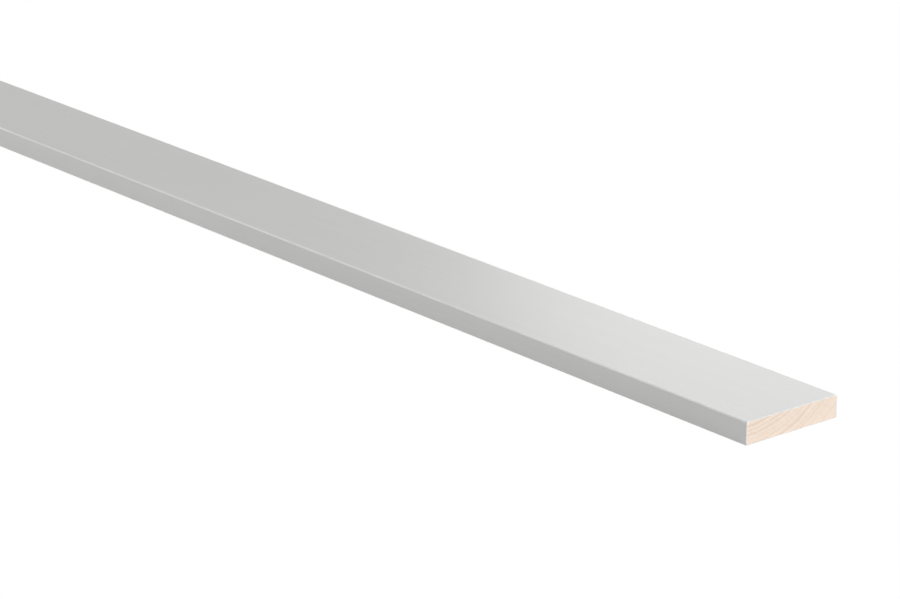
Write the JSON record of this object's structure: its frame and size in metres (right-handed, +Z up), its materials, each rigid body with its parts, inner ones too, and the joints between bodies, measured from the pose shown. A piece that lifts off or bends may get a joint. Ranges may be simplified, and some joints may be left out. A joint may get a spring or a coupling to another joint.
{
  "type": "trim strip",
  "caption": "Flat white-primed softwood trim strip with softened face edges and square-sawn bare wood ends, fixed by its back to cover joints and finish frames and walls.",
  "frame": {"origin": "middle of the back face, which lies on the floor", "axes": "+X along the strip's length, +Y across its face, +Z up from its back to its face"},
  "size_m": [2.7, 0.045, 0.009],
  "materials": {
    "white_primer": "satin"
  },
  "bodies": {
    "root": {"trim_strip": "white_primer"}
  },
  "joints": []
}
